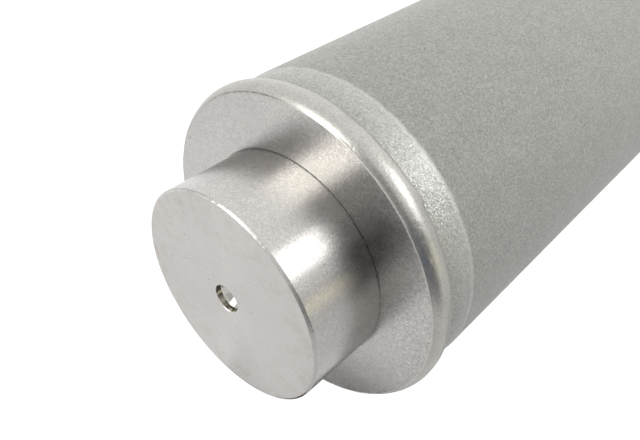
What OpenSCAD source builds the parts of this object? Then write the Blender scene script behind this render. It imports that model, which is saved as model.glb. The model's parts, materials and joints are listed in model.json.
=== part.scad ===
// Sintered filter element: a tube of sintered metal powder with a turned end cap at its blind end
// and a turned ring at its outlet. Each is butted against the tube and closed by a crowned ring weld.
// The element stands on its outlet ring, and the spigot of the end cap points up.

/* [Porous tube] */
// Outer diameter of the sintered tube
tube_d = 60.5; // [50:0.5:90]
// Wall of the sintered tube
tube_wall = 3; // [2.4:0.1:5]
// Length of the sintered tube between its two butt joints
tube_len = 230; // [80:1:500]
// Depth to which the tube is turned down beside each weld
land_depth = 0.15; // [0.05:0.05:0.4]
// Length of the turned land, from the toe of the weld to the foot of its shoulder
land_len = 5.5; // [2:0.1:12]
// Length of the shoulder that slopes from the land up to the raw tube
shoulder_len = 0.7; // [0.2:0.1:2]

/* [Spigot] */
// Diameter of the solid locating spigot
spigot_d = 40; // [20:0.5:46]
// Length of the spigot above the face of the cap
spigot_len = 15.2; // [6:0.1:40]
// Broken edge round the end of the spigot
spigot_chamfer = 0.45; // [0.2:0.05:1]
// Width of the fine tool groove in the face of the cap, round the root of the spigot
groove_w = 0.2; // [0.1:0.05:0.5]
// Depth of that groove below the face of the cap
groove_depth = 0.1; // [0.05:0.05:0.3]

/* [Centre hole] */
// Diameter of the lathe centre hole in the end of the spigot
centre_d = 5.3; // [2:0.1:10]
// Depth of the straight wall of the centre hole
centre_wall = 1.1; // [0.2:0.1:3]
// Point angle of the drill that made the centre hole
centre_angle = 118; // [60:1:140]

/* [Caps in the tube] */
// Thickness of the rim of the end cap and of the outlet ring, from the outer face to the butt joint
rim_t = 2.35; // [1.6:0.05:5]
// Length of the register that enters the tube
register_len = 5; // [2:0.1:15]
// Radial clearance of the register in the tube
register_gap = 0.1; // [0.05:0.05:0.3]
// Lead-in chamfer on the register
register_chamfer = 0.6; // [0.2:0.1:1.5]

/* [Outlet] */
// Diameter of the bore through the outlet ring
bore_d = 40; // [20:0.5:46]
// Broken edge at the mouth of the bore
bore_chamfer = 0.5; // [0.2:0.1:1.5]

/* [Ring welds] */
// Depth of the V groove below the surface of the tube
weld_depth = 2; // [1:0.1:2.2]
// Distance from the edge of the flat outer face in to the surface line of the tube
face_inset = 0.4; // [0.1:0.05:0.8]
// Height of the toe of the bead over the turned land
toe_step = 0.25; // [0.1:0.05:0.5]
// Rise of the crown over the chord from the edge of the face to the toe
crown_rise = 0.92; // [0.3:0.02:1.4]

/* [Hidden] */
$fn = 128;

tube_r = tube_d / 2;
bore_in_tube_r = tube_r - tube_wall;
land_r = tube_r - land_depth;
face_r = tube_r - face_inset;
root_r = tube_r - weld_depth;
spigot_r = spigot_d / 2;
centre_r = centre_d / 2;
register_r = bore_in_tube_r - register_gap;
bore_r = bore_d / 2;

// Heights above the outlet face
tube_z0 = rim_t;
tube_z1 = tube_z0 + tube_len;
face_z = tube_z1 + rim_t;

// The bead is centred on the butt joint, so it is as wide as the two rims beside the joint.
bead_w = 2 * rim_t;

// Depths below an outer face: end of the turned land, end of its shoulder, end of the register
land_end = bead_w + land_len;
shoulder_end = land_end + shoulder_len;
register_end = rim_t + register_len;

// Crown of the bead: the circle through the edge of the face and the toe, with the stated rise
rim_edge = [face_r, 0];
toe = [land_r + toe_step, bead_w];
chord = toe - rim_edge;
crown_r = norm(chord) ^ 2 / (8 * crown_rise) + crown_rise / 2;
chord_out = [chord.y, -chord.x] / norm(chord);
crown_centre = (rim_edge + toe) / 2 - (crown_r - crown_rise) * chord_out;
groove_root = [root_r, rim_t];

steel_turned = [0.80, 0.79, 0.78];
steel_weld = [0.83, 0.82, 0.81];
steel_sintered = [0.60, 0.60, 0.58];

// Half of the tube's section, as radius and depth below one outer face, from the joint to mid-length
function tube_half() = [
    [bore_in_tube_r, rim_t],
    groove_root,
    [land_r, bead_w],
    [land_r, land_end],
    [tube_r, shoulder_end]
];

// Section of the ring that is welded in, as radius and depth below its outer face, out to the weld
function rim_half() = [
    rim_edge,
    groove_root,
    [register_r, rim_t],
    [register_r, register_end - register_chamfer],
    [register_r - register_chamfer, register_end]
];

// Points of a section given by depth, turned over so that they lie below the cap's outer face
function below_cap(points) = [for (p = points) [p.x, face_z - p.y]];

function reversed(points) = [for (i = [len(points) - 1:-1:0]) points[i]];

// One ring weld below the outer face at height 0: a wedge that fills the V groove, under the crown
module ring_weld() {
    // Points past the crown on the two sides of the wedge, so that only the crown bounds it outside
    past_rim = rim_edge + (rim_edge - groove_root);
    past_toe = [toe.x + crown_r, bead_w];
    rotate_extrude()
        intersection() {
            translate(crown_centre)
                circle(r = crown_r);
            polygon([groove_root, past_rim, [past_toe.x, past_rim.y], past_toe, [land_r, bead_w]]);
        }
}

module porous_tube() {
    color(steel_sintered)
        rotate_extrude()
            polygon(concat(tube_half(), reversed(below_cap(tube_half()))));
}

module end_cap() {
    centre_tip = centre_r / tan(centre_angle / 2);
    end_z = face_z + spigot_len;
    color(steel_turned)
        rotate_extrude()
            polygon(concat(
                reversed(below_cap(rim_half())),
                [
                    [spigot_r + groove_w, face_z],
                    [spigot_r + groove_w, face_z - groove_depth],
                    [spigot_r, face_z - groove_depth],
                    [spigot_r, end_z - spigot_chamfer],
                    [spigot_r - spigot_chamfer, end_z],
                    [centre_r, end_z],
                    [centre_r, end_z - centre_wall],
                    [0, end_z - centre_wall - centre_tip],
                    [0, face_z - register_end]
                ]
            ));
}

module end_weld() {
    color(steel_weld)
        translate([0, 0, face_z])
            mirror([0, 0, 1])
                ring_weld();
}

module outlet_ring() {
    color(steel_turned)
        rotate_extrude()
            polygon(concat(
                rim_half(),
                [
                    [bore_r, register_end],
                    [bore_r, bore_chamfer],
                    [bore_r + bore_chamfer, 0]
                ]
            ));
}

module outlet_weld() {
    color(steel_weld)
        ring_weld();
}

porous_tube();
end_cap();
end_weld();
outlet_ring();
outlet_weld();
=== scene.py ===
# %% [markdown]
# # A sintered filter element, dressed for rendering
# The element is a tube of sintered steel powder. A turned end cap with a solid spigot closes one end,
# a turned ring leaves the other end open, and a crowned ring weld joins each of them to the tube.
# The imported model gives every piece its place. This lesson rebuilds each piece as a fine surface
# of revolution with numpy, gives it the small faults of the real one, and lights it.

# %% Load the frame
import json
import math

import bpy
import mathutils
import numpy as np
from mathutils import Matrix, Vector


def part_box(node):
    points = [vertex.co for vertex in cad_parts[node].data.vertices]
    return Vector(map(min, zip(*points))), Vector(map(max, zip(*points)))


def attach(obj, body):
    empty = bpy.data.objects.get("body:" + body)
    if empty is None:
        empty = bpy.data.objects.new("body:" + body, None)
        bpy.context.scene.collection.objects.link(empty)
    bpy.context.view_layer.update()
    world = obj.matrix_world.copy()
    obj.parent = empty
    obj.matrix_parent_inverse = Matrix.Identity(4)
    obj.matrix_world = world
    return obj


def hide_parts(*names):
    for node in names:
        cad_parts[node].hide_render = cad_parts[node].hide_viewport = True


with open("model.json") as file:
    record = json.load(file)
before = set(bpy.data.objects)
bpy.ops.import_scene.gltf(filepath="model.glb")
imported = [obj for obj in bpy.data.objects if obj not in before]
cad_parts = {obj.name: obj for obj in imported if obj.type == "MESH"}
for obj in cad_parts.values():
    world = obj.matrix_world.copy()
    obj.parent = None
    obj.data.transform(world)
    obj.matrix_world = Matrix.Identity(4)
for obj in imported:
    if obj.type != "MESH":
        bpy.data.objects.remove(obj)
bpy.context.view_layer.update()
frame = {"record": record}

# %% [markdown]
# ## Sizes
# The frame is in metres, and a maker thinks in millimetres, so the shapes below are worked out in
# millimetres and turned to metres when a mesh is made. What the frame can tell is measured on it.
# The few sizes that a box can't show, such as the depth of a groove, are named here.

# %% Measure the frame
MM = 0.001


def box_mm(node):
    """Lowest and highest corner of a CAD node, in millimetres."""
    low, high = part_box(node)
    return np.array(low) / MM, np.array(high) / MM


def mount_radius(name):
    """Radius that the record states for a round mount, in millimetres."""
    return next(m["dims"]["r_mm"] for m in frame["record"]["mounts"] if m["name"] == name)


tube_low, tube_high = box_mm("porous_tube")
cap_low, cap_high = box_mm("end_cap")
weld_low, weld_high = box_mm("end_weld")

tube_r = tube_high[0]
face_r = cap_high[0]
spigot_r = mount_radius("locating_spigot")
bore_r = mount_radius("outlet_bore")
crown_top_r = weld_high[0]
end_z = cap_high[2]
face_z = weld_high[2]
bead_w = weld_high[2] - weld_low[2]
rim_t = face_z - tube_high[2]
register_end = face_z - cap_low[2]
print(f"tube r {tube_r:.2f}, face r {face_r:.2f}, crown r {crown_top_r:.3f}, face at {face_z:.2f} mm")

# %% Sizes that a box can't show
tube_wall = 3.0
land_depth = 0.15
land_len = 5.5
shoulder_len = 0.7
weld_depth = 2.0
toe_step = 0.25
crown_rise = 0.92
register_gap = 0.1
register_chamfer = 0.6
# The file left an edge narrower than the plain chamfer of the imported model, and on one stretch it
# went further down the side, by this share
filed_face = 0.31
filed_side = 0.22
filed_steeper = 0.9
groove_w = 0.2
groove_depth = 0.1
centre_r = 2.65
centre_wall = 1.1
centre_half_angle = math.radians(59)
mouth_w = 0.22
mouth_depth = 0.13
bore_chamfer = 0.5

tube_inner_r = tube_r - tube_wall
land_r = tube_r - land_depth
root_r = tube_r - weld_depth
register_r = tube_inner_r - register_gap
print(f"bore of the tube r {tube_inner_r:.2f}, root of the weld r {root_r:.2f} mm")

# %% [markdown]
# ## Camera
# The photo looks down on the end of the spigot from close by, with the camera rolled far over, so
# that the standing element seems to lie on the table. Five numbers give that view: the distance
# from the axis, a small step aside, the height above the spigot, the pitch and the roll. Turning
# the part instead would be simpler to think of, but then it would no longer stand in its frame.

# %% Camera
focal_px = 662.6
image_w_px = 640
camera_side = 2.0
camera_distance = 100.3
camera_rise = 45.9
camera_pitch = math.radians(35.0)
camera_roll = math.radians(-124.4)

camera_data = bpy.data.cameras.new("photo_camera")
camera_data.sensor_width = 36.0
camera_data.lens = focal_px / image_w_px * camera_data.sensor_width
camera_data.clip_start = 0.005
camera = bpy.data.objects.new("photo_camera", camera_data)
camera.location = (camera_side * MM, -camera_distance * MM, (end_z + camera_rise) * MM)
level_right = np.array([1.0, 0.0, 0.0])
level_up = np.array([0.0, math.sin(camera_pitch), math.cos(camera_pitch)])
right = math.cos(camera_roll) * level_right + math.sin(camera_roll) * level_up
back = np.array([0.0, -math.cos(camera_pitch), math.sin(camera_pitch)])
turn_rows = np.stack([right, np.cross(back, right), back], axis=1).tolist()
camera.rotation_euler = mathutils.Matrix(turn_rows).to_euler("XYZ")
bpy.context.scene.collection.objects.link(camera)
bpy.context.scene.camera = camera
print("lens", round(camera_data.lens, 2), "mm, camera at", [round(c, 4) for c in camera.location])

# %% [markdown]
# ## Surfaces of revolution
# Every piece here was turned on a lathe, pressed in a round mould or welded on a rotator, so every
# piece is a grid: rows follow a section, from point to point, and columns go once round the axis.
# A Screw modifier could spin a profile too, but a grid of radius and height can also waver, so a
# bead runs unevenly and a tube is rough. A section runs anticlockwise, seen with the radius to the
# right, and then its faces point outwards.

# %% Grid of a piece
def revolved(name, radius, height, closed, pole_heights=()):
    """Mesh piece whose point in row i and column j is (R cos a, R sin a, H), with a = 2 pi j / columns.

    A closed section joins its last row to its first. An open one ends on the axis at two poles,
    first the pole before row 0 and then the pole after the last row.
    """
    rows, columns = radius.shape
    turn = np.arange(columns) * (2 * np.pi / columns)
    points = np.stack([radius * np.cos(turn), radius * np.sin(turn), height], axis=-1).reshape(-1, 3)
    lower_rows = np.arange(rows if closed else rows - 1)[:, None]
    here = np.arange(columns)[None, :]
    after = (here + 1) % columns
    below = lower_rows * columns
    above = (lower_rows + 1) % rows * columns
    faces = np.stack([below + here, below + after, above + after, above + here], axis=-1)
    faces = faces.reshape(-1, 4).tolist()
    if pole_heights:
        points = np.concatenate([points, [[0.0, 0.0, h] for h in pole_heights]])
        first = np.full(columns, rows * columns)
        last_row = (rows - 1) * columns
        faces += np.stack([first, after[0], here[0]], axis=-1).tolist()
        faces += np.stack([last_row + here[0], last_row + after[0], first + 1], axis=-1).tolist()
    mesh = bpy.data.meshes.new(name)
    mesh.from_pydata((points * MM).tolist(), [], faces)
    mesh.polygons.foreach_set("use_smooth", np.ones(len(mesh.polygons), dtype=bool))
    mesh.update()
    piece = bpy.data.objects.new(name, mesh)
    bpy.context.scene.collection.objects.link(piece)
    print(name, "has", sum(len(f) - 2 for f in faces), "triangles")
    return piece


# %% Section with broken edges
def broken_edges(corners, edges, fillet_points=5, stretch_points=7, closed=True):
    """Section through corners (radius, height), each edge broken over its own length.

    A broken edge is the curve (1-w)^2 a + 2w(1-w) c + w^2 b from a on the side before the corner c
    to b on the side after it. The straight stretch to the next corner has points that crowd
    towards its ends, so that smooth shading stays flat on it.
    """
    c = np.array(corners)
    edge = np.broadcast_to(np.array(edges, dtype=float).reshape(-1, 1), (len(c), 1))
    before = np.roll(c, 1, axis=0) - c
    after = np.roll(c, -1, axis=0) - c
    before_len = np.linalg.norm(before, axis=1, keepdims=True)
    after_len = np.linalg.norm(after, axis=1, keepdims=True)
    a = c + before / before_len * np.minimum(edge, before_len * 0.4)
    b = c + after / after_len * np.minimum(edge, after_len * 0.4)
    w = np.linspace(0, 1, fillet_points)[None, :, None]
    fillets = (1 - w) ** 2 * a[:, None] + 2 * w * (1 - w) * c[:, None] + w ** 2 * b[:, None]
    s = (1 - np.cos(np.pi * np.arange(1, stretch_points + 1) / (stretch_points + 1)))[None, :, None] / 2
    stretches = (1 - s) * b[:, None] + s * np.roll(a, -1, axis=0)[:, None]
    points = np.concatenate([fillets, stretches], axis=1)
    if not closed:
        points = points[1:-1]
    return points.reshape(-1, 2)


# %% Steps and waves
def smooth_step(x, start, stop):
    """0 before start, 1 after stop, and 3t^2 - 2t^3 between them."""
    t = np.clip((x - start) / (stop - start), 0, 1)
    return t * t * (3 - 2 * t)


def ring_noise(rows_mm, columns, around_mm, wave_mm, seed):
    """Smooth seeded noise on a grid of heights and columns, about 1 high, with waves of wave_mm.

    It is a sum of cosines whose wave numbers are drawn from a bell curve, whole round the ring.
    """
    draw = np.random.default_rng(seed)
    count = 60
    turns = np.rint(draw.normal(0, around_mm / wave_mm / 1.6, count))
    along = draw.normal(0, 1 / wave_mm / 1.6, count) * 2 * np.pi
    phase = draw.uniform(0, 2 * np.pi, count)
    angle = np.arange(columns) * (2 * np.pi / columns)
    total = np.zeros((len(rows_mm), columns))
    for turn, step, start in zip(turns, along, phase):
        total += np.cos(turn * angle[None, :] + step * rows_mm[:, None] + start)
    return total / math.sqrt(count / 2)


def hump(x, centre, half_width):
    """Bell of height 1 along a line, exp(-((x - centre) / half width)^2)."""
    return np.exp(-((x - centre) / half_width) ** 2)


def bell(columns, centre_deg, half_width_deg):
    """The same bell round a ring of columns, with its top at an azimuth."""
    off = (np.arange(columns) * (360 / columns) - centre_deg + 180) % 360 - 180
    return hump(off, 0, half_width_deg)


# %% [markdown]
# ## Finishes
# All metal here is stainless steel. What the eye tells apart is how each surface was made: pressed
# and sintered powder is matt and granular, a turned face is satin, and a weld is smooth and bright.
# Pictures could be laid on the surfaces, but nodes need none and have no seams. The finishes read
# Object coordinates, which here are the frame's own metres, and turn them to millimetres first.

# %% Material helpers
def linear(hex_code):
    """Linear RGBA of an sRGB hex colour."""
    srgb = [int(hex_code[i:i + 2], 16) / 255 for i in (1, 3, 5)]
    return [c / 12.92 if c <= 0.04045 else ((c + 0.055) / 1.055) ** 2.4 for c in srgb] + [1.0]


def add(tree, kind, links=None, out=0, **settings):
    """Add one node, set it up, fill its inputs with links or constants, and give one output."""
    made = tree.nodes.new(kind)
    for name, value in settings.items():
        setattr(made, name, value)
    for socket, value in (links or {}).items():
        if isinstance(value, bpy.types.NodeSocket):
            tree.links.new(value, made.inputs[socket])
        else:
            made.inputs[socket].default_value = value
    return made.outputs[out]


def steel(name):
    """An empty material with its node tree, a metal shader and the place on the part in millimetres."""
    material = bpy.data.materials.new(name)
    material.use_nodes = True
    tree = material.node_tree
    shader = tree.nodes["Principled BSDF"]
    shader.inputs["Metallic"].default_value = 1.0
    metres = add(tree, "ShaderNodeTexCoord", out="Object")
    place = add(tree, "ShaderNodeVectorMath", {0: metres, "Scale": 1 / MM}, operation="SCALE")
    return material, tree, shader, place


def between(tree, value, low, high, soft):
    """Mask that is 1 where a value lies from low to high, and fades to 0 over soft beyond them."""
    rise = add(tree, "ShaderNodeMapRange", {0: value, 1: low - soft, 2: low})
    fall = add(tree, "ShaderNodeMapRange", {0: value, 1: high, 2: high + soft, 3: 1.0, 4: 0.0})
    return add(tree, "ShaderNodeMath", {0: rise, 1: fall}, operation="MULTIPLY")


def lay_colour(tree, colour, over, mask, *more_masks):
    """Colour with a second colour over it, as strong as the product of all masks."""
    for other in more_masks:
        mask = add(tree, "ShaderNodeMath", {0: mask, 1: other}, operation="MULTIPLY")
    return add(tree, "ShaderNodeMix", {0: mask, 6: colour, 7: over}, out=2, data_type="RGBA")


# %% [markdown]
# ### Steel powder, pressed and sintered
# Round grains of steel powder, pressed and sintered until they just fuse, give a matt grey skin
# whose grains each catch a little light. Beside each weld the lathe smeared the grains to a brighter
# skin with open pits. Grains as geometry would need millions of faces, so they are colour and bump.

# %% Sintered powder
def sintered_powder():
    """Matt grey powder skin: cells of a Voronoi pattern for grains, brighter on the turned lands."""
    material, tree, shader, place = steel("steel powder, pressed and sintered")
    # Distance from the middle of the tube, so that both turned lands are described once
    middle = face_z / 2
    height = add(tree, "ShaderNodeSeparateXYZ", {0: place}, out="Z")
    from_middle = add(tree, "ShaderNodeMath", {0: height, 1: middle}, operation="SUBTRACT")
    from_middle = add(tree, "ShaderNodeMath", {0: from_middle}, operation="ABSOLUTE")
    wobble = add(tree, "ShaderNodeTexNoise", {"Vector": place, "Scale": 0.9, "Detail": 3.0})
    edge = add(tree, "ShaderNodeMath", {0: wobble, 1: 0.8, 2: from_middle}, operation="MULTIPLY_ADD")
    land_start = middle - bead_w - land_len - shoulder_len
    land = add(tree, "ShaderNodeMapRange", {0: edge, 1: land_start + 0.1, 2: land_start + 1.3},
               interpolation_type="SMOOTHSTEP")
    toward_toe = add(tree, "ShaderNodeMapRange",
                     {0: from_middle, 1: land_start + 2.0, 2: middle - bead_w})
    # The real powder is finer than 0.1 mm: grains of 0.27 mm are about as fine as the render can show,
    # and those that the tool cut are drawn a little smaller
    grain_mm, cut_mm, fine_mm, cloud_mm = 0.27, 0.19, 0.3, 4.0
    grain = add(tree, "ShaderNodeTexVoronoi", {"Vector": place, "Scale": 1 / grain_mm}, out="Color")
    cut_grain = add(tree, "ShaderNodeTexVoronoi", {"Vector": place, "Scale": 1 / cut_mm}, out="Color")
    grain = lay_colour(tree, grain, cut_grain, land)
    fine = add(tree, "ShaderNodeTexNoise", {"Vector": place, "Scale": 1 / fine_mm, "Detail": 1.0})
    cloud = add(tree, "ShaderNodeTexNoise", {"Vector": place, "Scale": 1 / cloud_mm, "Detail": 3.0})
    shade = add(tree, "ShaderNodeMath", {0: grain, 1: 0.8, 2: fine}, operation="MULTIPLY_ADD")
    shade = add(tree, "ShaderNodeMath", {0: cloud, 1: 0.25, 2: shade}, operation="MULTIPLY_ADD")
    shade = add(tree, "ShaderNodeMapRange", {0: shade, 1: 0.5, 2: 1.55})
    raw = lay_colour(tree, linear("#A8A9A5"), linear("#CBCCC8"), shade)
    bright = lay_colour(tree, linear("#9C9C98"), linear("#D2D2CE"), shade)
    pitted = lay_colour(tree, linear("#85857F"), linear("#C9C9C4"), shade)
    smeared = lay_colour(tree, bright, pitted, toward_toe)
    colour = lay_colour(tree, raw, smeared, land)
    # Painted highlight: a bright rim all round the shoulder, where the tool ran out and its slope catches
    # the light
    shoulder = between(tree, edge, land_start + 0.5, land_start + 0.8, 0.35)
    colour = lay_colour(tree, colour, linear("#DCDCD9"), shoulder, 0.4)
    tree.links.new(colour, shader.inputs["Base Color"])
    gloss = add(tree, "ShaderNodeMapRange", {0: land, 3: 0.92, 4: 0.43})
    tree.links.new(gloss, shader.inputs["Roughness"])
    bump = add(tree, "ShaderNodeBump", {"Height": fine, "Distance": 0.03 * MM, "Strength": 1.0})
    # Each grain also leans its own way, and on the glossy land that makes it sparkle
    lean = add(tree, "ShaderNodeVectorMath", {0: grain, 1: (0.5, 0.5, 0.5)}, operation="SUBTRACT")
    lean_share = add(tree, "ShaderNodeMapRange", {0: land, 3: 0.12, 4: 0.36})
    lean = add(tree, "ShaderNodeVectorMath", {0: lean, "Scale": lean_share}, operation="SCALE")
    leaning = add(tree, "ShaderNodeVectorMath", {0: bump, 1: lean}, operation="ADD")
    leaning = add(tree, "ShaderNodeVectorMath", {0: leaning}, operation="NORMALIZE")
    tree.links.new(leaning, shader.inputs["Normal"])
    return material


powder_finish = sintered_powder()
print("finish:", powder_finish.name)

# %% [markdown]
# ### Stainless steel, turned and bead-blasted
# The cap and the ring were turned and then blasted with fine glass beads, which leaves a satin grey
# with a very fine grain. On the front of the disc and on the side of the spigot, single dents carry
# painted glints and painted shade, for the sparkle of their facets. The end of the spigot has specks,
# brownish smears and hair scratches from handling. Its filed edge is rougher, with bright dots on the
# side that faces the light, rubbed wear with a painted highlight, and the mouth of the centre hole has
# a painted highlight all round. The tool groove round the spigot is drawn dark, most on one stretch,
# and the drilled centre hole is smoother, with old oil on its wall and painted shade on some lobes of
# its cone and on its tip. A painted map could hold all that, but masks by radius and height pick the
# places too, because the piece is round and needs no UV map.

# %% Blasted grain and painted glints
def grain_and_painted_glints(tree, place, cloud, dimples, on_disc, on_side):
    """Satin grey, with a tone for each dent on the disc, and painted glints and painted shade on single
    dents.
    """
    # All these dents are finer than 0.1 mm: they are drawn coarser, so that they show
    dent_mm, glint_dent_mm = 0.36, 0.24
    dent = add(tree, "ShaderNodeTexVoronoi", {"Vector": place, "Scale": 1 / dent_mm}, out="Color")
    dent_tone = add(tree, "ShaderNodeMath", {0: dent, 1: 0.5}, operation="SUBTRACT")
    dent_tone = add(tree, "ShaderNodeMath", {0: dent_tone, 1: on_disc}, operation="MULTIPLY")
    tone = add(tree, "ShaderNodeMath", {0: cloud, 1: 0.4, 2: dimples}, operation="MULTIPLY_ADD")
    tone = add(tree, "ShaderNodeMath", {0: dent_tone, 1: 0.65, 2: tone}, operation="MULTIPLY_ADD")
    tone = add(tree, "ShaderNodeMapRange", {0: tone, 1: 0.3, 2: 1.1})
    colour = lay_colour(tree, linear("#B9B6B3"), linear("#CFCCC9"), tone)
    # Painted glints and painted shade on single dents: on the side of the spigot, and on the disc most
    # towards its front
    front = math.radians(-112)
    forward = (math.cos(front), math.sin(front), 0)
    in_front = add(tree, "ShaderNodeVectorMath", {0: place, 1: forward}, out="Value",
                   operation="DOT_PRODUCT")
    in_front = add(tree, "ShaderNodeMapRange", {0: in_front, 1: 12.0, 2: 22.0, 3: 0.3, 4: 1.15})
    on_front = add(tree, "ShaderNodeMath", {0: in_front, 1: on_disc}, operation="MULTIPLY")
    painted_glint_share = add(tree, "ShaderNodeMath", {0: on_side, 1: 0.6, 2: on_front}, operation="MULTIPLY_ADD")
    glint_dent = add(tree, "ShaderNodeTexVoronoi", {"Vector": place, "Scale": 1 / glint_dent_mm}, out="Color")
    # Each kind: the value of a dent where it starts and where it is full, its share and its colour
    # The first kind is a painted glint, the second a painted shaded dent
    painted_glint, painted_dent_shade = (0.6, 0.95, 0.4, "#FFFDFA"), (0.4, 0.1, 0.35, "#8F8C89")
    for start, full, share, tint in (painted_glint, painted_dent_shade):
        of_kind = add(tree, "ShaderNodeMapRange", {0: glint_dent, 1: start, 2: full, 3: 0.0, 4: share})
        colour = lay_colour(tree, colour, linear(tint), of_kind, painted_glint_share)
    return colour


# %% Marks of handling
# Each hair scratch: middle in x and y, direction in degrees, length and width, with lengths in millimetres
scratches = [
    (4.2, -1.0, 160, 2.8, 0.18),
    (6.0, -0.1, 140, 0.9, 0.20),
    (-1.5, -13.0, 155, 3.2, 0.16),
    (9.5, 4.0, 60, 4.0, 0.16),
    (-7.0, 6.5, 20, 5.0, 0.15),
    (2.0, 13.5, 110, 3.0, 0.16),
]
print(len(scratches), "hair scratches on the end of the spigot")


def handling_marks(tree, place, radius, on_end, colour):
    """Specks all over, and on the end of the spigot smears towards the rim and hair scratches."""
    speck_gap_mm, smear_mm = 2.6, 2.2
    specks = add(tree, "ShaderNodeTexVoronoi", {"Vector": place, "Scale": 1 / speck_gap_mm}, out="Distance")
    specks = add(tree, "ShaderNodeMapRange", {0: specks, 1: 0.04, 2: 0.085, 3: 0.55, 4: 0.0})
    colour = lay_colour(tree, colour, linear("#77716A"), specks)
    smear = add(tree, "ShaderNodeTexNoise", {"Vector": place, "Scale": 1 / smear_mm, "Detail": 6.0,
                                             "Roughness": 0.7})
    smear = add(tree, "ShaderNodeMapRange", {0: smear, 1: 0.48, 2: 0.7, 3: 0.0, 4: 0.5})
    near_rim = add(tree, "ShaderNodeMapRange", {0: radius, 1: 11.0, 2: spigot_r, 3: 0.25, 4: 1.0})
    colour = lay_colour(tree, colour, linear("#A9A197"), near_rim, on_end, smear)
    for x, y, turn_deg, length, width in scratches:
        laid = {"Vector": place, "Location": (x, y, end_z), "Rotation": (0, 0, math.radians(turn_deg)),
                "Scale": (length / 2, width / 2, 1e3)}
        along = add(tree, "ShaderNodeMapping", laid, vector_type="TEXTURE")
        away = add(tree, "ShaderNodeVectorMath", {0: along}, out="Value", operation="LENGTH")
        hair = add(tree, "ShaderNodeMapRange", {0: away, 1: 0.4, 2: 1.0, 3: 0.45, 4: 0.0})
        colour = lay_colour(tree, colour, linear("#6F6A64"), hair, on_end)
    return colour


# %% Rubbed edges and painted highlights
def edge_wear_and_highlights(tree, place, aside, radius, height, colour):
    """Rubbed dots and a painted highlight on one side of the filed edge, and a painted highlight at the
    hole's mouth.
    """
    # Painted highlight with rubbed wear: bright dots on the side of the filed edge that faces the light
    edge_r = spigot_r - filed_face
    edge = between(tree, radius, edge_r - 0.06, edge_r + 0.1, 0.03)
    edge_side = add(tree, "ShaderNodeMapRange", {0: aside, 1: 2.0, 2: 9.0})
    edge_top = between(tree, height, end_z - 0.2, end_z, 0.03)
    dot_mm = 0.35
    dots = add(tree, "ShaderNodeTexNoise", {"Vector": place, "Scale": 1 / dot_mm, "Detail": 1.0})
    dots = add(tree, "ShaderNodeMapRange", {0: dots, 1: 0.4, 2: 0.65, 3: 0.1, 4: 0.9})
    colour = lay_colour(tree, colour, linear("#F0EEEA"), edge, edge_side, edge_top, dots)
    # Painted highlight: a bright line all round the mouth of the centre hole
    mouth = between(tree, radius, centre_r + 0.01, centre_r + mouth_w, 0.02)
    mouth_low = between(tree, height, end_z - 0.16, end_z - 0.015, 0.01)
    return lay_colour(tree, colour, linear("#F4F2EE"), mouth, mouth_low)


# %% Colours of the hole and the groove
def hole_and_groove_colours(tree, aside, radius, height, on_wall, colour):
    """Old oil on the hole's wall, painted shade on some lobes of its cone and its tip, and a dark groove.
    """
    colour = lay_colour(tree, colour, linear("#CDC9BD"), on_wall)
    # Painted shade on some lobes of the cone and on its tip
    lobe_stain = add(tree, "ShaderNodeAttribute", out="Fac", attribute_name="lobe_stain")
    colour = lay_colour(tree, colour, linear("#5F5B53"), lobe_stain)
    # A dark line in the groove round the spigot
    groove = between(tree, radius, spigot_r - 0.005, spigot_r + groove_w - 0.04, 0.03)
    groove_low = between(tree, height, face_z - 0.3, face_z - 0.05, 0.03)
    # The groove is darkest on one stretch, and hardly dark on the far side
    groove_dark_side = add(tree, "ShaderNodeMapRange", {0: aside, 1: -14.0, 2: -2.0, 3: 0.1, 4: 0.55})
    darkest_stretch = between(tree, aside, -10.5, -2.0, 3.5)
    groove_dark_side = add(tree, "ShaderNodeMath", {0: darkest_stretch, 1: 0.45, 2: groove_dark_side}, operation="MULTIPLY_ADD")
    return lay_colour(tree, colour, linear("#3A3631"), groove, groove_low, groove_dark_side)


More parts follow.
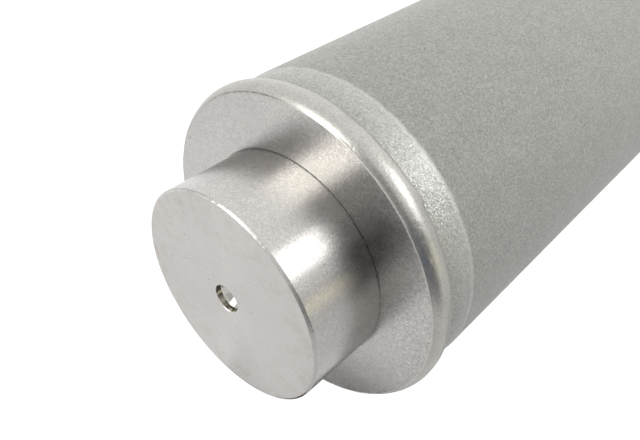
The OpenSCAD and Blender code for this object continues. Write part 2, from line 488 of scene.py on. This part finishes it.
# %% Turned steel
def turned_steel():
    """Satin steel: the blasted grain with its marks and some painted light, and highlights that stretch
    across the turning.
    """
    material, tree, shader, place = steel("stainless steel, turned and bead-blasted")
    aside = add(tree, "ShaderNodeSeparateXYZ", {0: place}, out="X")
    height = add(tree, "ShaderNodeSeparateXYZ", {0: place}, out="Z")
    level = add(tree, "ShaderNodeVectorMath", {0: place, 1: (1, 1, 0)}, operation="MULTIPLY")
    radius = add(tree, "ShaderNodeVectorMath", {0: level}, out="Value", operation="LENGTH")
    # Places on the piece
    on_disc = between(tree, height, face_z - 0.03, face_z + 0.03, 0.01)
    on_side = between(tree, radius, spigot_r - 0.05, spigot_r + 0.05, 0.02)
    on_end = between(tree, height, end_z - 0.02, end_z + 1.0, 0.01)
    in_hole = between(tree, radius, -1.0, centre_r + 0.02, 0.01)
    below_mouth = between(tree, height, face_z, end_z - 0.14, 0.04)
    in_hole = add(tree, "ShaderNodeMath", {0: in_hole, 1: below_mouth}, operation="MULTIPLY")
    on_wall = between(tree, height, end_z - centre_wall, end_z, 0.03)
    on_wall = add(tree, "ShaderNodeMath", {0: in_hole, 1: on_wall}, operation="MULTIPLY")
    on_filed = between(tree, radius, spigot_r - filed_face - 0.02, spigot_r, 0.04)
    filed_high = between(tree, height, end_z - (1 + filed_steeper) * filed_side, end_z, 0.04)
    on_filed = add(tree, "ShaderNodeMath", {0: on_filed, 1: filed_high}, operation="MULTIPLY")
    # The dimples are finer than 0.1 mm: they are drawn at 0.22 mm, about the finest that shows
    dimple_mm, cloud_mm = 0.22, 6.0
    dimples = add(tree, "ShaderNodeTexNoise", {"Vector": place, "Scale": 1 / dimple_mm, "Detail": 1.0})
    cloud = add(tree, "ShaderNodeTexNoise", {"Vector": place, "Scale": 1 / cloud_mm, "Detail": 3.0})
    colour = grain_and_painted_glints(tree, place, cloud, dimples, on_disc, on_side)
    colour = handling_marks(tree, place, radius, on_end, colour)
    colour = edge_wear_and_highlights(tree, place, aside, radius, height, colour)
    colour = hole_and_groove_colours(tree, aside, radius, height, on_wall, colour)
    tree.links.new(colour, shader.inputs["Base Color"])
    # The drill left the hole smoother than the blasted faces, and the file left the edge rougher
    gloss = add(tree, "ShaderNodeMapRange", {0: cloud, 1: 0.3, 2: 0.7, 3: 0.25, 4: 0.29})
    for where, roughness in ((in_hole, 0.14), (on_wall, 0.24), (on_filed, 0.32)):
        gloss = add(tree, "ShaderNodeMix", {0: where, 2: gloss, 3: roughness}, data_type="FLOAT")
    tree.links.new(gloss, shader.inputs["Roughness"])
    # The turning marks under the grain run round the axis, so highlights stretch across them
    round_axis = add(tree, "ShaderNodeTangent", direction_type="RADIAL", axis="Z")
    tree.links.new(round_axis, shader.inputs["Tangent"])
    shader.inputs["Anisotropic"].default_value = 0.7
    shader.inputs["Anisotropic Rotation"].default_value = 0.25
    # The relief is deepest on the side of the spigot, and the drill left hardly any in the hole
    relief = add(tree, "ShaderNodeMapRange", {0: on_disc, 3: 0.014 * MM, 4: 0.010 * MM})
    relief = add(tree, "ShaderNodeMix", {0: in_hole, 2: relief, 3: 0.006 * MM}, data_type="FLOAT")
    bump = add(tree, "ShaderNodeBump", {"Height": dimples, "Distance": relief, "Strength": 1.0})
    tree.links.new(bump, shader.inputs["Normal"])
    return material


turned_finish = turned_steel()
print("finish:", turned_finish.name)

# %% [markdown]
# ### Stainless steel, weld bead brushed bright
# A ring weld on a rotator leaves a smooth crown. A wire brush took most of the scale off and left a
# fine grain, so it shines more than the turned steel and still sparkles a little. Heat tints are left
# where the weld closes on its own start, straw beside blue. On one stretch the corner against the cap
# is drawn dark, and the two edges of the bead carry a painted highlight. Masks in the nodes could find
# those places, but the bead itself knows where they are, so it carries them as attributes of its points.

# %% Weld steel
def weld_steel():
    """Bright brushed steel with the bead's straw and blue tints, dark corner and painted edge highlight."""
    material, tree, shader, place = steel("stainless steel, weld bead brushed bright")
    # The brush marks are finer than 0.1 mm: they are drawn as grains of 0.24 mm
    brush_mm, dimple_mm, cloud_mm = 0.24, 0.26, 3.0
    dimples = add(tree, "ShaderNodeTexNoise", {"Vector": place, "Scale": 1 / dimple_mm, "Detail": 1.0})
    cloud = add(tree, "ShaderNodeTexNoise", {"Vector": place, "Scale": 1 / cloud_mm, "Detail": 3.0})
    brushed = add(tree, "ShaderNodeTexVoronoi", {"Vector": place, "Scale": 1 / brush_mm}, out="Color")
    brushed = add(tree, "ShaderNodeMath", {0: brushed, 1: 0.5}, operation="SUBTRACT")
    tone = add(tree, "ShaderNodeMath", {0: cloud, 1: 0.5, 2: dimples}, operation="MULTIPLY_ADD")
    tone = add(tree, "ShaderNodeMath", {0: brushed, 1: 0.5, 2: tone}, operation="MULTIPLY_ADD")
    tone = add(tree, "ShaderNodeMapRange", {0: tone, 1: 0.25, 2: 1.25})
    colour = lay_colour(tree, linear("#A5A39D"), linear("#D1CFCA"), tone)
    # Straw and blue are heat tints, the corner is drawn dark, and the edges get a painted highlight
    tints = {"straw": "#C4BC9F", "blue": "#9097AA", "soot": "#55534C", "rubbed": "#E2E0DC"}
    for label, tint in tints.items():
        mask = add(tree, "ShaderNodeAttribute", out="Fac", attribute_name=label)
        colour = lay_colour(tree, colour, linear(tint), mask)
    tree.links.new(colour, shader.inputs["Base Color"])
    shader.inputs["Roughness"].default_value = 0.31
    bump = add(tree, "ShaderNodeBump", {"Height": dimples, "Distance": 0.025 * MM, "Strength": 1.0})
    tree.links.new(bump, shader.inputs["Normal"])
    return material


weld_finish = weld_steel()
print("finish:", weld_finish.name)


# %% Give a piece its finish
def dress(piece, finish, node):
    """Give a piece its finish, tie it to the one body, and let it stand for its CAD node."""
    piece.data.materials.append(finish)
    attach(piece, "root")
    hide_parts(node)


# %% [markdown]
# ## Sintered tube
# Powder pressed in a round mould and sintered comes out a little uneven, and the lathe only touched
# the two lands beside the welds. The outside is a grid with fine rows on the lands and the shoulders
# and wider rows between, raised and lowered by smooth noise. The bore is plain.

# %% Sintered tube
tube_columns = 320


def tube_outer_radius(depth):
    """Radius of the outside at a depth below an end face: groove side, land, shoulder, raw tube."""
    groove = root_r + (land_r - root_r) * (depth - rim_t) / (bead_w - rim_t)
    shoulder = smooth_step(depth, bead_w + land_len - 0.2, bead_w + land_len + shoulder_len + 0.2)
    return np.where(depth < bead_w, groove, land_r + land_depth * shoulder)


fine_end = 14.0
near = np.concatenate([np.linspace(rim_t, bead_w, 5), np.arange(bead_w + 0.3, fine_end, 0.3)])
mid = np.linspace(fine_end, face_z - fine_end, 190)
outer_z = np.concatenate([near, mid, (face_z - near)[::-1]])
outer_depth = np.minimum(outer_z, face_z - outer_z)
relief = ring_noise(outer_z, tube_columns, 2 * np.pi * tube_r, 3.0, seed=4)
raw_part = smooth_step(outer_depth, bead_w + 1, bead_w + land_len + 2)[:, None]
outer_radius = tube_outer_radius(outer_depth)[:, None] + raw_part * (relief * 0.012 - 0.03)
inner_z = np.linspace(tube_high[2], tube_low[2], 40)
inner_radius = np.full((len(inner_z), tube_columns), tube_inner_r)
tube_z = np.concatenate([outer_z, inner_z])[:, None] + np.zeros((1, tube_columns))
tube = revolved("sintered_tube", np.concatenate([outer_radius, inner_radius]), tube_z, closed=True)
dress(tube, powder_finish, "porous_tube")

# %% [markdown]
# ## End cap
# One turned piece: register, rim, disc, spigot and centre hole. Its section is a short list of
# corners, and every edge is broken by a small curve, because no real edge is perfectly sharp and the
# curve catches a line of light. A Bevel modifier could break the edges too, but only all alike. The
# edge of the spigot was filed by hand, so its width drifts, and it is steeper on one stretch. The
# drill chattered in the centre hole and left flat lobes on its cone.

# %% Section of the end cap
joint_z = face_z - rim_t
tip_z = end_z - centre_wall - centre_r / math.tan(centre_half_angle)
sharp, plain, filed_edge = 0.03, 0.06, 0.08
# Each corner: radius, height and how far its edge is broken
cap_corners = np.array([
    (0.0, cap_low[2], plain),
    (register_r - register_chamfer, cap_low[2], plain),
    (register_r, cap_low[2] + register_chamfer, plain),
    (register_r, joint_z, plain),
    (root_r, joint_z, plain),
    (face_r, face_z, plain),
    (spigot_r + groove_w, face_z, sharp),
    (spigot_r + groove_w, face_z - groove_depth, sharp),
    (spigot_r, face_z - groove_depth, sharp),
    (spigot_r, end_z - filed_side, filed_edge),
    (spigot_r - filed_face, end_z, filed_edge),
    (centre_r + mouth_w, end_z, sharp),
    (centre_r, end_z - mouth_depth, sharp),
    (centre_r, end_z - centre_wall, plain),
    (0.0, tip_z, plain),
])
cap_section = broken_edges(cap_corners[:, :2], cap_corners[:, 2], closed=False)
print("section of the cap:", len(cap_section), "points")

# %% Filed edge of the spigot
cap_columns = 640
cap_turn = np.arange(cap_columns) * (2 * np.pi / cap_columns)
cap_radius = cap_section[:, :1] + np.zeros((1, cap_columns))
cap_height = cap_section[:, 1:] + np.zeros((1, cap_columns))
# The file left short nicks and a slow drift of its depth
at_edge = (cap_radius > spigot_r - filed_face - 0.03) & (cap_height > end_z - filed_side - 0.03)
spigot_round = 2 * np.pi * spigot_r
edge_nicks = ring_noise(np.zeros(1), cap_columns, spigot_round, 0.8, seed=21)
edge_drift = ring_noise(np.zeros(1), cap_columns, spigot_round, 12.0, seed=22)
filed = at_edge * np.clip(0.03 + 0.007 * edge_nicks + 0.012 * edge_drift, 0, 0.08)
# It was held steeper on one stretch, so there the edge is broken further down the side
edge_reach = 0.6
steep_deg, steep_half_deg = -122, 24
near_edge = (cap_radius > spigot_r - edge_reach) & (cap_height > end_z - edge_reach)
steeper = np.where(near_edge, 1 + filed_steeper * bell(cap_columns, steep_deg, steep_half_deg), 1.0)
cap_height = end_z - (end_z - cap_height) * steeper
cap_radius = cap_radius - filed
cap_height = cap_height - filed
print("file marks up to", round(filed.max(), 3), "mm deep")

# %% Centre hole
# The broken mouth of the hole is wide on one side and nearly sharp on the other
at_mouth = np.abs(cap_radius - centre_r - mouth_w / 2) < mouth_w / 2 + 0.04
at_mouth = at_mouth & (cap_height > end_z - 2 * mouth_depth)
mouth_share = np.where(at_mouth, 0.12 + 0.5 * bell(cap_columns, 150, 45), 1.0)
cap_radius = centre_r + (cap_radius - centre_r) * mouth_share
cap_height = end_z - (end_z - cap_height) * mouth_share
# The cone is part of the way to a pyramid: each lobe is flatter than the round cone
lobes = 9
lobe_phase = 0.15
flatness = 0.7
from_lobe = (cap_turn + lobe_phase) % (2 * np.pi / lobes) - np.pi / lobes
sag = cap_radius / math.tan(centre_half_angle) * (1 - np.cos(from_lobe))
on_cone = (cap_height > face_z) * smooth_step(centre_r - cap_radius, 0.05, 0.5)
cap_height = cap_height - flatness * on_cone * sag
print(lobes, "lobes in the hole, up to", round((flatness * on_cone * sag).max(), 3), "mm flat")

# %% End cap
cap = revolved("turned_end_cap", cap_radius, cap_height, False, (cap_low[2], tip_z))
# Painted shade: some lobes of the cone are darker than others, and so is the tip of the cone, for the shade
# and dark reflections among the flat lobes
shade_of_lobe = np.array([0.12, 0.15, 0.45, 0.0, 0.25, 0.4, 0.1, 0.3, 0.2])
register_shade, tip_shade = 0.0, 0.3
lobe_of_column = ((cap_turn + lobe_phase) * lobes / (2 * np.pi)).astype(int) % lobes
lobe_stain = on_cone * shade_of_lobe[lobe_of_column]
shade_values = np.concatenate([lobe_stain.ravel(), [register_shade, tip_shade]])
cap.data.attributes.new("lobe_stain", "FLOAT", "POINT").data.foreach_set("value", shade_values)
dress(cap, turned_finish, "end_cap")

# %% [markdown]
# ## Outlet ring
# The ring at the open end is turned from the same bar, with the same register and rim as the cap
# and a plain bore with a broken edge. It lies outside the photo, so it is kept simple: one closed
# section, carried round.

# %% Outlet ring
ring_columns = 360
ring_corners = [
    (bore_r + bore_chamfer, 0.0),
    (face_r, 0.0),
    (root_r, rim_t),
    (register_r, rim_t),
    (register_r, register_end - register_chamfer),
    (register_r - register_chamfer, register_end),
    (bore_r, register_end),
    (bore_r, bore_chamfer),
]
ring_section = broken_edges(ring_corners, plain)
ring_radius = ring_section[:, :1] + np.zeros((1, ring_columns))
ring_height = ring_section[:, 1:] + np.zeros((1, ring_columns))
ring = revolved("turned_outlet_ring", ring_radius, ring_height, True)
dress(ring, turned_finish, "outlet_ring")

# %% [markdown]
# ## Ring welds
# Each bead fills the groove between a rim and the tube and stands over it as a crown. In section the
# crown is one circle, from the edge of the outer face to the toe on the turned land. A torus would be
# too even, so the circle's radius swells and sinks along the ring, a low lip runs along the cap where
# the weld metal ended, and near one place the bead is lumpy, where it closed on its own start. Just
# past that place its toe steps back.

# %% Crown circle
rim_edge = np.array([face_r, 0.0])
toe = np.array([land_r + toe_step, bead_w])
chord = toe - rim_edge
chord_len = np.linalg.norm(chord)
crown_r = chord_len ** 2 / (8 * crown_rise) + crown_rise / 2
chord_out = np.array([chord[1], -chord[0]]) / chord_len
crown_centre = (rim_edge + toe) / 2 - (crown_r - crown_rise) * chord_out
rim_angle = math.atan2(*(rim_edge - crown_centre)[::-1])
toe_angle = math.atan2(*(toe - crown_centre)[::-1])
print("crown radius", round(crown_r, 3), "mm, from", round(math.degrees(rim_angle), 1), "to",
      round(math.degrees(toe_angle), 1), "degrees")

# %% Shape of a bead
weld_columns = 720
# Azimuths of the place where a weld closes on its start and of the step in its toe, and how far
# round the step reaches
close_deg = -108
kink_deg = -99.5
kink_half_deg = 9


def bead_grid(seed):
    """Radius, depth below the outer face and marks of a crown circle carried round the axis.

    The crown is raised along its own radius by a low lip at the face, smooth noise and the lumps
    where it closes, and it is lowered a little to keep its top in the CAD box. Rows before and
    after the crown close it along the sides of its groove.
    """
    arc = rim_angle + (toe_angle - rim_angle) * np.linspace(0, 1, 64) ** 1.25
    run = (arc - rim_angle) * crown_r
    across = run[:, None]
    toe_run = run[-1]
    around_mm = 2 * np.pi * tube_r
    waves = ring_noise(run, weld_columns, around_mm, 7.0, seed)
    ripples = ring_noise(run, weld_columns, around_mm, 1.3, seed + 1)
    lip_waves = ring_noise(np.zeros(1), weld_columns, around_mm, 4.0, seed + 2)
    toe_waves = ring_noise(np.zeros(1), weld_columns, around_mm, 9.0, seed + 3)
    # The lip is missing for a stretch, and there the corner against the cap is drawn dark instead
    lipless_stretch = bell(weld_columns, -30, 32)
    lip = (0.065 + 0.015 * lip_waves) * (1 - lipless_stretch) - 0.02 * lipless_stretch
    lip_shape = hump(across, 0.06, 0.17)
    closing = bell(weld_columns, close_deg, 7)
    upper = smooth_step(-across, -3.4, -1.0)
    rise = 0.012 * waves + 0.002 * ripples - 0.035 + lip * lip_shape + closing * upper * 0.016 * ripples
    radius = crown_centre[0] + (crown_r + rise) * np.cos(arc)[:, None]
    depth = crown_centre[1] + (crown_r + rise) * np.sin(arc)[:, None]
    # The toe wavers, and it steps back at one place, just past the end of the weld
    past_kink = np.arange(weld_columns) * 360 / weld_columns - (360 + kink_deg)
    past_end = smooth_step(-np.abs(past_kink - kink_half_deg), -kink_half_deg, 2 - kink_half_deg)
    toe_shift = 0.06 * toe_waves + 0.35 * past_end * bell(weld_columns, kink_deg + 2, 5)
    depth = depth + hump(across, toe_run, 0.9) * toe_shift
    # Hidden rows: the start of the lip inside the cap, the toe inside the tube, the root of the groove
    row = np.ones((1, weld_columns))
    foot = depth[-1:]
    radius = np.concatenate([row * (face_r - 0.22), row * (face_r - 0.1), radius, radius[-1:] - 0.1,
                             row * (land_r - 0.05), row * root_r])
    depth = np.concatenate([row * 0.05, row * -0.4 * np.maximum(lip, 0), depth, foot + 0.05, foot + 0.06,
                            row * rim_t])
    radius = np.minimum(radius, crown_top_r)
    marks = {
        # The corner against the cap is drawn dark where the lip is missing
        "soot": lipless_stretch * hump(across, 0.05, 0.14) * np.clip(0.7 + 0.2 * ripples, 0, 0.9),
        "straw": bell(weld_columns, close_deg - 5, 4) * hump(across, 1.9, 0.7)
                 * np.clip(0.05 + 0.2 * ripples, 0, 0.4),
        "blue": bell(weld_columns, close_deg - 3, 9) * hump(across, 0.7, 0.6)
                * np.clip(0.6 + 0.15 * ripples, 0, 0.9),
        # Painted highlight along the toe and along the lip
        "rubbed": 0.6 * hump(across, toe_run, 0.25) + 0.7 * hump(across, 0.05, 0.1) * (1 - lipless_stretch),
    }
    return radius, depth, marks


# %% Ring welds
def bead(name, seed, up):
    """Ring weld below the cap's face, or turned over above the ring's, with its marks as attributes."""
    radius, depth, marks = bead_grid(seed)
    if up:
        piece = revolved(name, radius[::-1], face_z - depth[::-1], True)
    else:
        piece = revolved(name, radius, np.maximum(depth, 0.0), True)
    for label, crown_values in marks.items():
        values = np.zeros(radius.shape)
        values[2:-3] = crown_values
        attribute = piece.data.attributes.new(label, "FLOAT", "POINT")
        attribute.data.foreach_set("value", (values[::-1] if up else values).ravel())
    return piece


end_bead = bead("end_weld_bead", 11, True)
dress(end_bead, weld_finish, "end_weld")
outlet_bead = bead("outlet_weld_bead", 31, False)
dress(outlet_bead, weld_finish, "outlet_weld")

# %% [markdown]
# ## Floor and white surroundings
# A pale floor carries the element and its shadow. The photo's ground is pure white, so what the
# camera, and the metal by reflection, see of the floor and the world is lifted to white by the
# Light Path node. Brighter lamps could do that too, but they would burn out the metal, and this way
# the light that falls on the element stays at a plain level. Near the foot of the element the
# camera's lift is less, so the shadow there is kept.

# %% Floor
def plate(name, corners):
    """A flat four-sided plate of the stage."""
    mesh = bpy.data.meshes.new(name)
    mesh.from_pydata(corners, [], [[0, 1, 2, 3]])
    thing = bpy.data.objects.new(name, mesh)
    bpy.context.scene.collection.objects.link(thing)
    return thing


def seen_directly(tree):
    """1 for camera, glossy and transmission rays, and 0 for the rays that light the scene."""
    path = add(tree, "ShaderNodeLightPath").node
    seen = add(tree, "ShaderNodeMath", {0: path.outputs["Is Camera Ray"], 1: path.outputs["Is Glossy Ray"]},
               operation="ADD")
    return add(tree, "ShaderNodeMath", {0: seen, 1: path.outputs["Is Transmission Ray"]},
               operation="ADD", use_clamp=True)


half = 4.0
floor_lift, spare_lift = 0.63, 0.22
foot_near, foot_far = 0.04, 0.105
floor = plate("floor", [(-half, -half, 0), (half, -half, 0), (half, half, 0), (-half, half, 0)])
floor_material = bpy.data.materials.new("white floor")
floor_material.use_nodes = True
tree = floor_material.node_tree
tree.nodes.remove(tree.nodes["Principled BSDF"])
glow_level = add(tree, "ShaderNodeMath", {0: seen_directly(tree), 1: floor_lift}, operation="MULTIPLY")
# Round the foot the lamps already make the floor white, so some of the lift is spared there
from_axis = add(tree, "ShaderNodeTexCoord", out="Object")
from_axis = add(tree, "ShaderNodeVectorMath", {0: from_axis}, out="Value", operation="LENGTH")
spare = add(tree, "ShaderNodeMapRange", {0: from_axis, 1: foot_near, 2: foot_far, 3: spare_lift, 4: 0.0})
by_camera = add(tree, "ShaderNodeLightPath", out="Is Camera Ray")
spare = add(tree, "ShaderNodeMath", {0: spare, 1: by_camera}, operation="MULTIPLY")
glow_level = add(tree, "ShaderNodeMath", {0: glow_level, 1: spare}, operation="SUBTRACT")
glow = add(tree, "ShaderNodeEmission", {"Strength": glow_level})
paint = add(tree, "ShaderNodeBsdfDiffuse", {"Color": linear("#C8C8C8")})
both = add(tree, "ShaderNodeAddShader", {0: glow, 1: paint})
tree.links.new(both, tree.nodes["Material Output"].inputs["Surface"])
floor.data.materials.append(floor_material)
print("floor", 2 * half, "m wide")

# %% White surroundings
world = bpy.data.worlds.new("white studio")
world.use_nodes = True
bpy.context.scene.world = world
tree = world.node_tree
level = add(tree, "ShaderNodeMapRange", {0: seen_directly(tree), 3: 0.7, 4: 1.0})
tree.links.new(level, tree.nodes["Background"].inputs["Strength"])
tree.nodes["Background"].inputs["Color"].default_value = (1, 1, 1, 1)
print("world:", world.name)

# %% [markdown]
# ## Lamps and cards
# Metal looks like what it mirrors. The photo shows three soft lamps: a strip low in front, a square
# one high at the side and one overhead. It also shows the dark of the room behind the camera, a grey
# wall on the far side and the shadow of the table under the lower end of the disc. The lamps are area
# lights. The room is a few bent cards that only reflections see, as a photographer would set black
# and grey board round a shiny part. In the photo the corner between disc and spigot is darker than
# plain cards make it, so each card has two levels, and the second is what is mirrored twice there.
# Real cards can't do that: it is a trick of the stage, and the part's finishes know nothing of it.

# %% Lamps
def softbox(name, azimuth, distance, height, size, aim_height, radiance, tint="#FFFFFF"):
    """Rectangular lamp at an azimuth and distance from the axis, turned to a point on the axis."""
    lamp = bpy.data.lights.new(name, "AREA")
    lamp.shape = "RECTANGLE"
    lamp.size, lamp.size_y = size
    lamp.color = linear(tint)[:3]
    lamp.energy = radiance * math.pi * size[0] * size[1]
    box = bpy.data.objects.new(name, lamp)
    angle = math.radians(azimuth)
    box.location = (distance * math.cos(angle), distance * math.sin(angle), height)
    aim = mathutils.Vector((0, 0, aim_height)) - box.location
    box.rotation_euler = aim.to_track_quat("-Z", "Y").to_euler()
    box.visible_camera = False
    bpy.context.scene.collection.objects.link(box)
    print(name, "of", round(lamp.energy, 2), "watts")


# Azimuths are in degrees, and all lengths of the stage are in metres
softbox("strip_softbox", -95, 0.20, 0.13, (0.088, 0.14), 0.13, 2.2)
softbox("side_softbox", -34.5, 0.60, 0.66, (0.41, 0.34), 0.24, 3.15, "#FEFFF8")
softbox("top_softbox", 29, 0.33, 0.90, (0.30, 0.30), 0.24, 2.7)


# %% Cards
def only_reflected(card, level, level_twice, tint):
    """Let only reflections show a stage card, at one level mirrored once and another mirrored twice."""
    material = bpy.data.materials.new(card.name)
    material.use_nodes = True
    tree = material.node_tree
    tree.nodes.remove(tree.nodes["Principled BSDF"])
    bounces = add(tree, "ShaderNodeLightPath", out="Ray Depth")
    strength = add(tree, "ShaderNodeMapRange", {0: bounces, 1: 1.0, 2: 2.0, 3: level, 4: level_twice})
    glow = add(tree, "ShaderNodeEmission", {"Color": linear(tint), "Strength": strength})
    tree.links.new(glow, tree.nodes["Material Output"].inputs["Surface"])
    card.data.materials.append(material)
    card.visible_camera = False
    card.visible_diffuse = False
    card.visible_shadow = False
    card.visible_transmission = False


def curved_card(name, azimuths, distance, heights, level, level_twice, tint="#FFFFFF"):
    """Upright card bent round the axis: points (d cos a, d sin a, z) for two heights z."""
    count = 40
    angle = np.radians(np.linspace(*azimuths, count))[None, :]
    z = np.array(heights)[:, None] + 0 * angle
    points = np.stack([distance * np.cos(angle) + 0 * z, distance * np.sin(angle) + 0 * z, z], axis=-1)
    i = np.arange(count - 1)
    faces = np.stack([i, i + 1, i + 1 + count, i + count], axis=-1)
    mesh = bpy.data.meshes.new(name)
    mesh.from_pydata(points.reshape(-1, 3).tolist(), [], faces.tolist())
    card = bpy.data.objects.new(name, mesh)
    bpy.context.scene.collection.objects.link(card)
    only_reflected(card, level, level_twice, tint)


curved_card("dark_side", (-58, -86), 0.30, (0.332, 0.60), 0.33, 0.2)
curved_card("dark_front", (-86, -112), 0.30, (0.332, 0.60), 0.30, 0.02)
curved_card("dark_corner", (-112, -159), 0.30, (0.17, 0.78), 0.23, 0.0)
curved_card("dim_wall", (98, 132), 0.36, (0.0, 0.24), 0.36, 0.36)
curved_card("grey_wall", (132, 235), 0.36, (0.0, 0.24), 0.77, 0.72)
curved_card("grey_wall_top", (108, 232), 0.36, (0.24, 0.65), 0.72, 0.48)
curved_card("table_shadow", (104, 142), 0.07, (0.205, 0.266), 0.05, 0.05)
curved_card("pale_wall", (-8, 68), 0.40, (0.40, 0.72), 0.8, 0.32)
curved_card("warm_strip", (-134, -142), 0.28, (0.0, 0.2), 1.25, 1.25, "#FFFAE0")
# Two cards lie just above the floor beside the element
ground_z, outer_x, inner_x = 0.001, -0.36, -0.04
for name, near_y, far_y, level in (("grey_ground", -0.3, 0.02, 0.78), ("dim_ground", 0.02, 0.3, 0.50)):
    ground = plate(name, [(outer_x, near_y, ground_z), (inner_x, near_y, ground_z),
                          (inner_x, far_y, ground_z), (outer_x, far_y, ground_z)])
    only_reflected(ground, level, level, "#FFFFFF")

# %% [markdown]
# ## View and the end
# The Standard view transform shows colours as they are written.

# %% View and the end
bpy.context.scene.view_settings.view_transform = "Standard"
